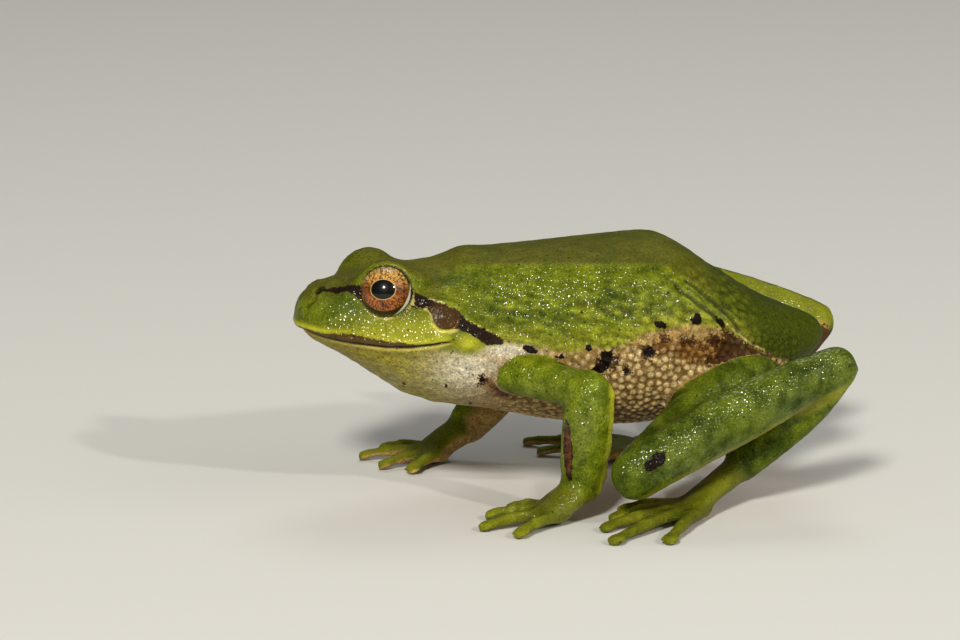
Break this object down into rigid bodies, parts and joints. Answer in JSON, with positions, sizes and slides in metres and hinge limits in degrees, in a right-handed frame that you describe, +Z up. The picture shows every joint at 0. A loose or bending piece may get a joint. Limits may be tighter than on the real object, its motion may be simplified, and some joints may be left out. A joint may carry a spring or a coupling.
{
  "type": "pacific treefrog",
  "caption": "Small treefrog sitting high on its forearms, hind legs folded at its sides, with round toe discs, large eyes and a closed mouth.",
  "frame": {"origin": "on the floor, under the middle of the frog's bounding box", "axes": "the frog faces -X, its left side is -Y, +Z is up"},
  "size_m": [0.0464, 0.037, 0.0208],
  "materials": {
    "green_skin": "moist, finely granular, satin to glossy",
    "pale_skin": "moist, coarsely granular, satin",
    "copper_iris": "wet gloss",
    "brown_eardrum": "thin stretched skin, satin"
  },
  "bodies": {
    "root": {"head": "green_skin", "lower_jaw": "pale_skin", "torso": "green_skin", "eye_left": "copper_iris", "eardrum_left": "brown_eardrum", "upper_arm_left": "green_skin", "forearm_left": "green_skin", "hand_left": "green_skin", "thigh_left": "green_skin", "shank_left": "green_skin", "tarsus_left": "green_skin", "foot_left": "green_skin", "finger_left_1": "green_skin", "finger_left_2": "green_skin", "finger_left_3": "green_skin", "finger_left_4": "green_skin", "toe_left_1": "green_skin", "toe_left_2": "green_skin", "toe_left_3": "green_skin", "toe_left_4": "green_skin", "toe_left_5": "green_skin", "eye_right": "copper_iris", "eardrum_right": "brown_eardrum", "upper_arm_right": "green_skin", "forearm_right": "green_skin", "hand_right": "green_skin", "thigh_right": "green_skin", "shank_right": "green_skin", "tarsus_right": "green_skin", "foot_right": "green_skin", "finger_right_1": "green_skin", "finger_right_2": "green_skin", "finger_right_3": "green_skin", "finger_right_4": "green_skin", "toe_right_1": "green_skin", "toe_right_2": "green_skin", "toe_right_3": "green_skin", "toe_right_4": "green_skin", "toe_right_5": "green_skin"}
  },
  "joints": []
}
